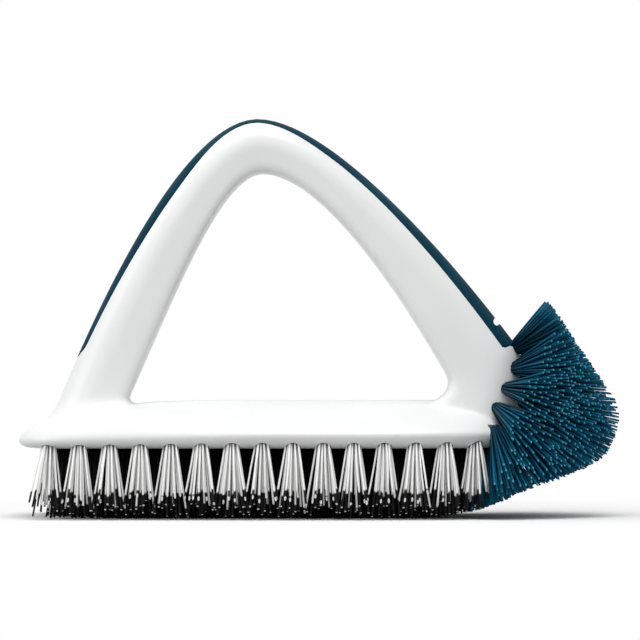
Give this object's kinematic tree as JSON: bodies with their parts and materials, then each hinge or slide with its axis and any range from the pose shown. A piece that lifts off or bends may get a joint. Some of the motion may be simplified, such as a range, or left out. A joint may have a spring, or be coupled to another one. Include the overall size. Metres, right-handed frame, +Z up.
{
  "type": "flat scrub brush",
  "caption": "Hand scrub brush: a flat block with an arched hand loop, a soft grip strip along the loop, stiff bristle rows underneath and a bristle fan round the nose.",
  "frame": {"origin": "under the middle of the brush, on the plane of the bristle tips", "axes": "+X points to the nose, Y runs across the brush, +Z is up"},
  "size_m": [0.18, 0.0706, 0.119],
  "materials": {
    "white_moulding": "satin injection-moulded white plastic",
    "teal_grip": "soft matte dark teal rubber",
    "white_bristle": "stiff white filament, dark at the cut tips",
    "black_bristle": "stiff black filament",
    "teal_bristle": "stiff teal filament with lighter cut ends"
  },
  "bodies": {
    "root": {"block_and_handle": "white_moulding", "soft_grip": "teal_grip", "inner_bristle_slice_left": "black_bristle", "inner_bristle_slice_centre": "black_bristle", "inner_bristle_slice_right": "black_bristle", "outer_tuft_left_01": "white_bristle", "outer_tuft_left_02": "white_bristle", "outer_tuft_left_03": "white_bristle", "outer_tuft_left_04": "white_bristle", "outer_tuft_left_05": "white_bristle", "outer_tuft_left_06": "white_bristle", "outer_tuft_left_07": "white_bristle", "outer_tuft_left_08": "white_bristle", "outer_tuft_left_09": "white_bristle", "outer_tuft_left_10": "white_bristle", "outer_tuft_left_11": "white_bristle", "outer_tuft_left_12": "white_bristle", "outer_tuft_left_13": "white_bristle", "outer_tuft_left_14": "white_bristle", "outer_tuft_left_15": "white_bristle", "outer_tuft_right_01": "white_bristle", "outer_tuft_right_02": "white_bristle", "outer_tuft_right_03": "white_bristle", "outer_tuft_right_04": "white_bristle", "outer_tuft_right_05": "white_bristle", "outer_tuft_right_06": "white_bristle", "outer_tuft_right_07": "white_bristle", "outer_tuft_right_08": "white_bristle", "outer_tuft_right_09": "white_bristle", "outer_tuft_right_10": "white_bristle", "outer_tuft_right_11": "white_bristle", "outer_tuft_right_12": "white_bristle", "outer_tuft_right_13": "white_bristle", "outer_tuft_right_14": "white_bristle", "outer_tuft_right_15": "white_bristle", "nose_tuft_01": "teal_bristle", "nose_tuft_02": "teal_bristle", "nose_tuft_03": "teal_bristle", "nose_tuft_04": "teal_bristle", "nose_tuft_05": "teal_bristle", "nose_tuft_06": "teal_bristle", "nose_tuft_07": "teal_bristle", "nose_tuft_08": "teal_bristle", "nose_tuft_09": "teal_bristle", "nose_tuft_10": "teal_bristle", "nose_tuft_11": "teal_bristle", "nose_tuft_12": "teal_bristle", "nose_tuft_13": "teal_bristle", "nose_tuft_14": "teal_bristle", "nose_tuft_15": "teal_bristle", "nose_tuft_16": "teal_bristle", "nose_tuft_17": "teal_bristle", "nose_tuft_18": "teal_bristle", "nose_tuft_19": "teal_bristle", "nose_tuft_20": "teal_bristle", "nose_tuft_21": "teal_bristle", "nose_tuft_22": "teal_bristle", "nose_tuft_23": "teal_bristle"}
  },
  "joints": []
}
